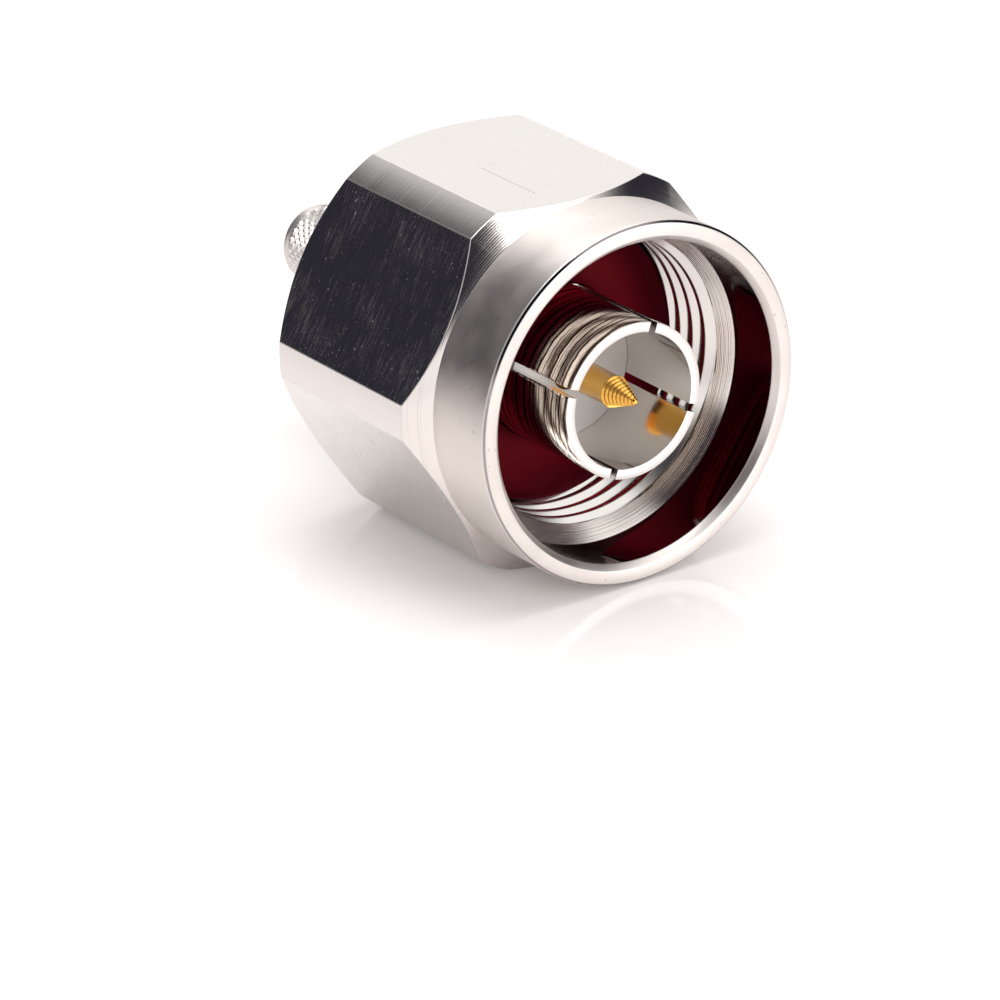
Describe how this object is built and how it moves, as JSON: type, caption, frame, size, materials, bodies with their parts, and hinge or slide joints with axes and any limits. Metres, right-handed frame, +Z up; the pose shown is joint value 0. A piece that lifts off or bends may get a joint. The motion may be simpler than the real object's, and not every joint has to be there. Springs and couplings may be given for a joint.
{
  "type": "coaxial plug connector",
  "caption": "Threaded coaxial plug with a turning hexagonal coupling nut, slotted outer contact, centre pin, face gasket and a crimp post for the cable.",
  "frame": {"origin": "centre of the outer contact's front rim, on the plug's axis", "axes": "+Y along the axis from the mouth to the crimp post, +Z up, square to the flat of the nut that the plug lies on"},
  "size_m": [0.021, 0.0288, 0.019],
  "materials": {
    "nut_plating": "bright nickel plate over milled and turned brass",
    "ring_metal": "nickel-plated spring bronze",
    "gasket_silicone": "glossy dark red silicone rubber",
    "body_plating": "bright nickel plate over turned brass",
    "outer_contact_plating": "polished nickel plate over spring bronze",
    "insulator": "turned white PTFE",
    "rear_insulator": "turned white PTFE",
    "gold_plating": "gold plate over turned brass",
    "post_plating": "bright nickel plate over knurled brass"
  },
  "bodies": {
    "connector": {"body": "body_plating", "retaining_ring": "ring_metal", "gasket": "gasket_silicone", "outer_contact": "outer_contact_plating", "front_insulator": "insulator", "rear_insulator": "rear_insulator", "centre_contact": "gold_plating", "crimp_post": "post_plating"},
    "nut": {"coupling_nut": "nut_plating"}
  },
  "joints": [
    {"name": "nut_turn", "type": "hinge", "parent": "connector", "child": "nut", "pos_m": [0, 0, 0], "axis": [0, -1, 0], "continuous": true}
  ]
}
